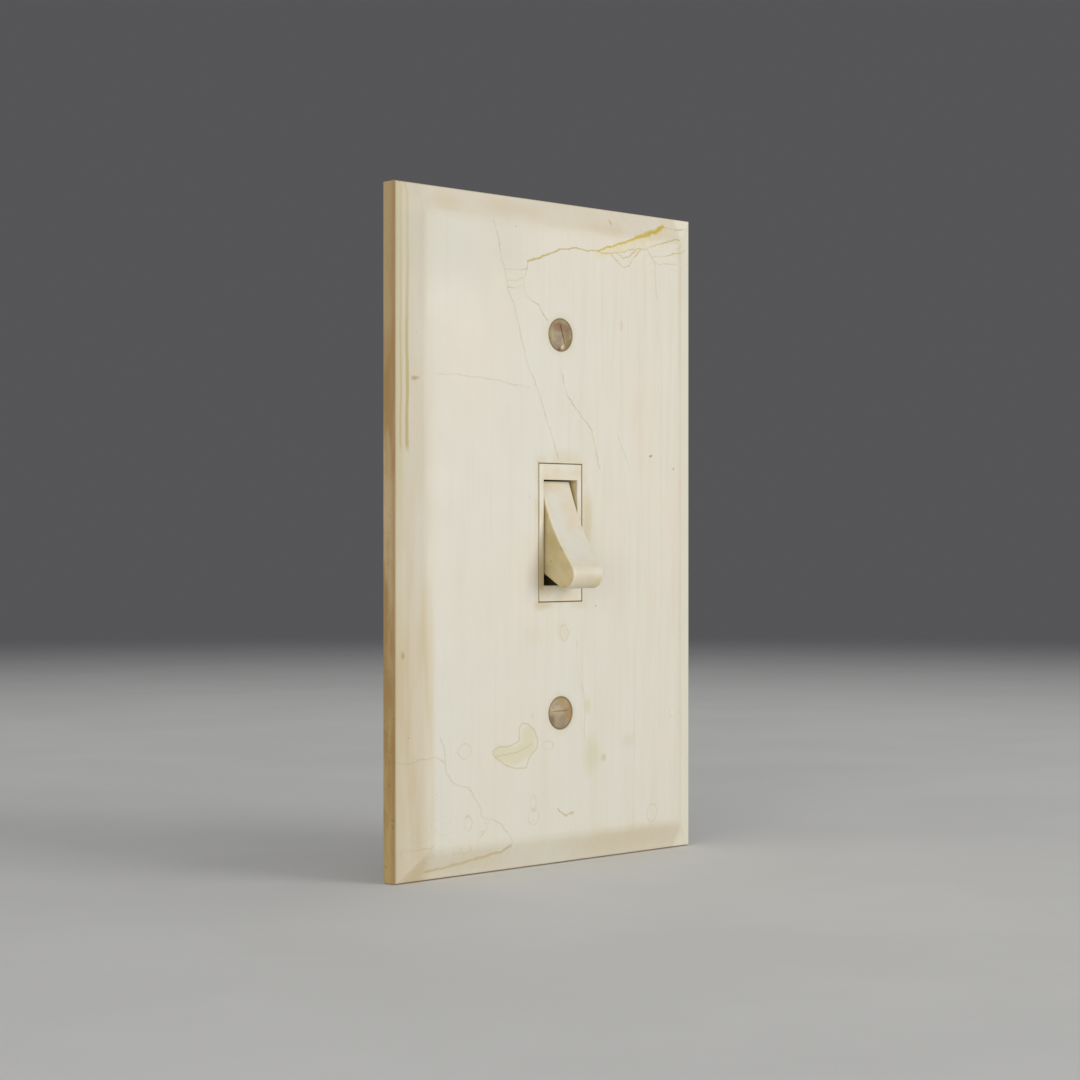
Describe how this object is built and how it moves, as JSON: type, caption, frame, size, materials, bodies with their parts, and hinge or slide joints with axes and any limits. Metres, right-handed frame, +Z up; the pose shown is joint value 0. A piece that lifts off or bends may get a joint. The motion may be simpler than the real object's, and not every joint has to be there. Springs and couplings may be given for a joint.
{
  "type": "toggle wall switch",
  "caption": "Wall switch with a wedge-shaped toggle lever in a narrow bezel, behind a bevelled cover plate held by slotted screws, with strap, housing and contact works.",
  "frame": {"origin": "centre of the toggle opening on the wall plane, where the cover plate's back rim and the strap's back lie", "axes": "+Z up along the plate's long side, +Y into the wall, so the lever and the plate's face point to -Y, +X to the right as seen from the front"},
  "size_m": [0.0698, 0.0348, 0.1142],
  "materials": {
    "wall_plate": "aged ivory moulding, low sheen, crazed",
    "plate_screws": "tarnished and spotted with rust",
    "toggle_lever": "aged ivory moulding, low sheen",
    "pivot_pin": "plain ground steel",
    "detent_spring": "drawn spring wire",
    "detent_plunger": "turned brass, dull",
    "detent_cam": "stamped steel",
    "front_cover": "aged ivory moulding, low sheen",
    "insulating_gasket": "dark grey-green fish paper",
    "mounting_strap": "zinc plated, dulled",
    "housing_rivets": "rolled brass",
    "box_screws": "zinc plated, dulled",
    "screw_retainers": "red-brown vulcanised fibre",
    "rear_housing": "dark brown phenolic moulding",
    "line_terminal": "stamped brass, dull",
    "fixed_contact": "silver, slightly tarnished",
    "load_terminal": "stamped brass, dull",
    "arm_pin": "plain steel",
    "contact_arm": "stamped brass, dull",
    "moving_contact": "silver, slightly tarnished",
    "arm_spring": "drawn spring wire",
    "terminal_screws": "brass, dull"
  },
  "bodies": {
    "switch": {"wall_plate": "wall_plate", "plate_screws": "plate_screws", "detent_cam": "detent_cam", "front_cover": "front_cover", "insulating_gasket": "insulating_gasket", "mounting_strap": "mounting_strap", "housing_rivets": "housing_rivets", "box_screws": "box_screws", "screw_retainers": "screw_retainers", "rear_housing": "rear_housing", "line_terminal": "line_terminal", "fixed_contact": "fixed_contact", "load_terminal": "load_terminal", "arm_pin": "arm_pin", "arm_spring": "arm_spring", "terminal_screws": "terminal_screws"},
    "lever": {"toggle_lever": "toggle_lever", "pivot_pin": "pivot_pin", "detent_spring": "detent_spring", "detent_plunger": "detent_plunger"},
    "contact": {"contact_arm": "contact_arm", "moving_contact": "moving_contact"}
  },
  "joints": [
    {"name": "toggle", "type": "hinge", "parent": "switch", "child": "lever", "pos_m": [0, -0.0016, 0], "axis": [-1, 0, 0], "range_deg": [0, 80.88]},
    {"name": "contact_swing", "type": "hinge", "parent": "switch", "child": "contact", "pos_m": [0.0019, 0.0099, 0.003], "axis": [-1, 0, 0], "range_deg": [0, 5.6]}
  ],
  "couplings": [
    {"joint": "contact_swing", "follows": "toggle", "ratio": 0.0692}
  ]
}
